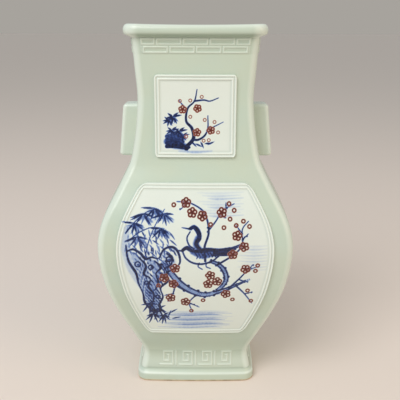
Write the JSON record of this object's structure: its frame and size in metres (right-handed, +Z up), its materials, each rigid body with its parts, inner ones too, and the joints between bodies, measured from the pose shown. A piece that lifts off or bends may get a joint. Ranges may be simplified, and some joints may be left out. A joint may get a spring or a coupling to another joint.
{
  "type": "hu vase",
  "caption": "Square-section hu vase with everted lip, flared neck, bulging body, side lugs, stepped foot, key-fret bands and raised painted panels.",
  "frame": {"origin": "middle of the underside of the foot, on the surface that the vase stands on", "axes": "+Z up, -Y out of the front face with the painted panels, +X to the right seen from the front"},
  "size_m": [0.1984, 0.1546, 0.38],
  "materials": {
    "celadon_glaze": "glossy pale grey-green glaze",
    "white_glaze": "glossy clear glaze over white slip with cobalt and iron-red painting",
    "bare_porcelain": "glazed plinth with an unglazed, slightly stained foot rim"
  },
  "bodies": {
    "root": {"front_wall": "celadon_glaze", "right_wall": "celadon_glaze", "back_wall": "celadon_glaze", "left_wall": "celadon_glaze", "mouth_rim": "celadon_glaze", "foot_ring": "bare_porcelain", "base_slab": "celadon_glaze", "left_handle": "celadon_glaze", "right_handle": "celadon_glaze", "front_neck_panel": "white_glaze", "front_body_panel": "white_glaze", "back_neck_panel": "white_glaze", "back_body_panel": "white_glaze"}
  },
  "joints": []
}
